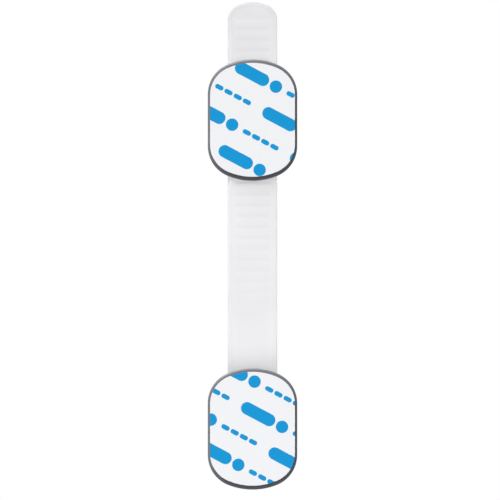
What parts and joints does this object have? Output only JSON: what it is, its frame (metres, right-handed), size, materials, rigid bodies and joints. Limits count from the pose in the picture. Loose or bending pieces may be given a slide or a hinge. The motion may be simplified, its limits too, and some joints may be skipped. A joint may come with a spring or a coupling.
{
  "type": "cabinet safety lock",
  "caption": "Adhesive child-safety lock: a toothed strap runs from a ratchet adjuster pod to a squeeze-release latch pod, both with peel-off liners.",
  "frame": {"origin": "middle of the adjuster pod's adhesive face, on the outside of its liner", "axes": "+Z along the strap from the latch pod to the tail, -Y out of the adhesive into the cabinet, +X to the right as seen from the adhesive side"},
  "size_m": [0.0344, 0.0137, 0.1876],
  "materials": {
    "pod_plastic": "satin",
    "strap_plastic": "satin",
    "button_plastic": "satin",
    "liner_paper": "satin",
    "foam_tape": "matte",
    "spring_steel": "satin"
  },
  "bodies": {
    "adjuster": {"adjuster_foam": "foam_tape", "adjuster_base": "pod_plastic", "adjuster_cover": "pod_plastic", "adjuster_screws": "spring_steel", "pawl_pin": "spring_steel", "pawl_spring": "spring_steel"},
    "adjuster_liner": {"adjuster_liner": "liner_paper"},
    "pawl": {"pawl_lever": "button_plastic"},
    "strap": {"strap_band": "strap_plastic"},
    "strap_end": {"strap_root": "strap_plastic"},
    "head": {"head_frame": "pod_plastic", "head_cover": "pod_plastic", "head_screws": "spring_steel", "strap_pin": "spring_steel", "left_button_spring": "spring_steel", "right_button_spring": "spring_steel"},
    "left_button": {"left_button": "button_plastic"},
    "right_button": {"right_button": "button_plastic"},
    "latch_base": {"latch_base": "pod_plastic", "latch_foam": "foam_tape"},
    "latch_liner": {"latch_liner": "liner_paper"}
  },
  "joints": [
    {"name": "adjuster_liner_peel", "type": "hinge", "parent": "adjuster", "child": "adjuster_liner", "pos_m": [-0.0164, 0.0002, 0.00014], "axis": [0, 0, -1], "range_deg": [0, 120]},
    {"name": "pawl_press", "type": "hinge", "parent": "adjuster", "child": "pawl", "pos_m": [0, 0.008, 0], "axis": [-1, 0, 0], "range_deg": [0, 10], "stiffness_Nm_per_rad": 0.02, "springref_deg": -17.19, "deforming": ["pawl_spring"]},
    {"name": "strap_adjust", "type": "slide", "parent": "adjuster", "child": "strap", "axis": [0, 0, 1], "range_m": [-0.0249, 0.0498]},
    {"name": "strap_bend", "type": "hinge", "parent": "strap", "child": "strap_end", "pos_m": [0, 0.00425, -0.086], "axis": [-1, 0, 0], "range_deg": [-20, 90], "stiffness_Nm_per_rad": 0.03},
    {"name": "head_pivot", "type": "hinge", "parent": "strap_end", "child": "head", "pos_m": [0, 0.0055, -0.1043], "axis": [1, 0, 0], "range_deg": [0, 12]},
    {"name": "left_button_press", "type": "slide", "parent": "head", "child": "left_button", "axis": [1, 0, 0], "range_m": [0, 0.0018], "stiffness_N_per_m": 600, "springref_m": -0.002, "deforming": ["left_button_spring"]},
    {"name": "right_button_press", "type": "slide", "parent": "head", "child": "right_button", "axis": [-1, 0, 0], "range_m": [0, 0.0018], "stiffness_N_per_m": 600, "springref_m": -0.002, "deforming": ["right_button_spring"]},
    {"name": "latch_release", "type": "slide", "parent": "head", "child": "latch_base", "axis": [0, -1, 0], "range_m": [0, 0.024]},
    {"name": "latch_liner_peel", "type": "hinge", "parent": "latch_base", "child": "latch_liner", "pos_m": [0.0164, 0.0002, -0.11866], "axis": [0, 0, 1], "range_deg": [0, 120]}
  ]
}
